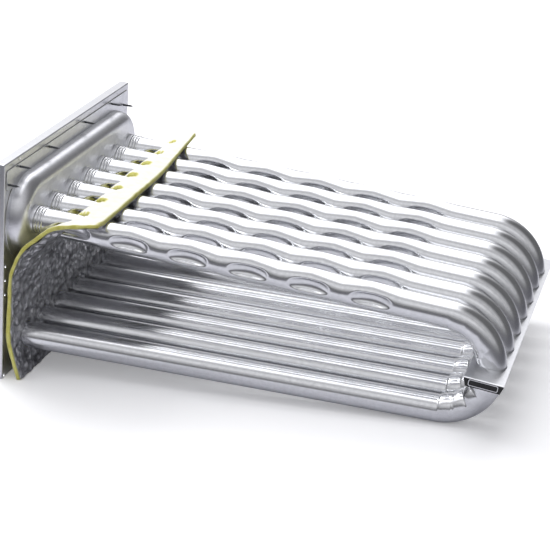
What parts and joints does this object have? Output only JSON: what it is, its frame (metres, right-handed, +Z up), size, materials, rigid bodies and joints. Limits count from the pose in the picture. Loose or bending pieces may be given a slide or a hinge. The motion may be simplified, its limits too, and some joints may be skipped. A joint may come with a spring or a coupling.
{
  "type": "furnace heat exchanger",
  "caption": "U-bent dimpled steel tubes held between a folded vest panel with a drawn collector header and a rear support plate, with a foil-faced insulation blanket.",
  "frame": {"origin": "on the vest panel's front face, midway across the tubes, level with the centre of the bends", "axes": "+X along the tubes from the panel to the bends, +Y across the tubes, +Z up from the lower legs to the upper legs"},
  "size_m": [0.8424, 0.5556, 0.3774],
  "materials": {
    "panel_steel": "galvanised sheet, satin",
    "header_steel": "aluminised sheet, deep drawn, satin",
    "tube_steel": "aluminised tube, satin",
    "plate_steel": "galvanised sheet, satin",
    "screw_steel": "zinc plated, dulled",
    "gasket_fibre": "pressed mineral fibre",
    "glass_wool": "glass-fibre mat, soft",
    "foil_facing": "crumpled foil"
  },
  "bodies": {
    "root": {"vest_panel": "panel_steel", "header_gasket": "gasket_fibre", "collector_header": "header_steel", "tube_1": "tube_steel", "tube_2": "tube_steel", "tube_3": "tube_steel", "tube_4": "tube_steel", "tube_5": "tube_steel", "tube_6": "tube_steel", "tube_7": "tube_steel", "blanket_mat": "glass_wool", "blanket_foil": "foil_facing", "support_plate": "plate_steel", "long_screw_1": "screw_steel", "long_screw_2": "screw_steel", "long_screw_3": "screw_steel", "long_screw_4": "screw_steel", "long_screw_5": "screw_steel", "long_screw_6": "screw_steel", "short_screw_1": "screw_steel", "short_screw_2": "screw_steel", "short_screw_3": "screw_steel", "short_screw_4": "screw_steel"}
  },
  "joints": []
}
